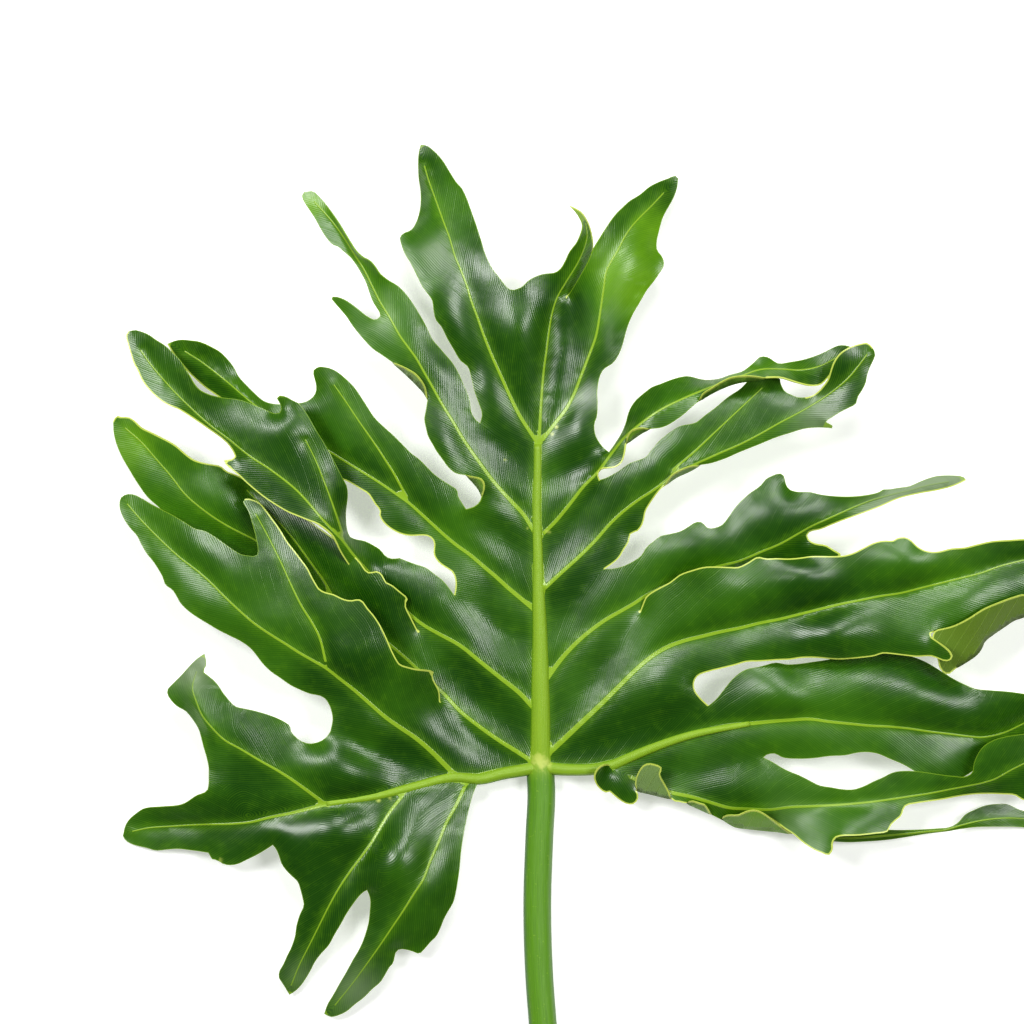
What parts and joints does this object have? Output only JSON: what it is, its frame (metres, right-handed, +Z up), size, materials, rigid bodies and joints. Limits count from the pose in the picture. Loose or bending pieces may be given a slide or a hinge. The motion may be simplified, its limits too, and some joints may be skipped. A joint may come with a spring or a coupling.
{
  "type": "tree philodendron leaf",
  "caption": "Large lobed tropical leaf with wavy margins and a thick cut stalk, lying face up.",
  "frame": {"origin": "lowest flat of the stalk, straight below the place where stalk, midrib and basal ribs meet", "axes": "+Z up through the upper face of the blade, +Y from the stalk's cut end towards the blade's tip"},
  "size_m": [0.4902, 0.5675, 0.0487],
  "materials": {
    "leaf_tissue": "satin"
  },
  "bodies": {
    "root": {"leaf": "leaf_tissue"}
  },
  "joints": []
}
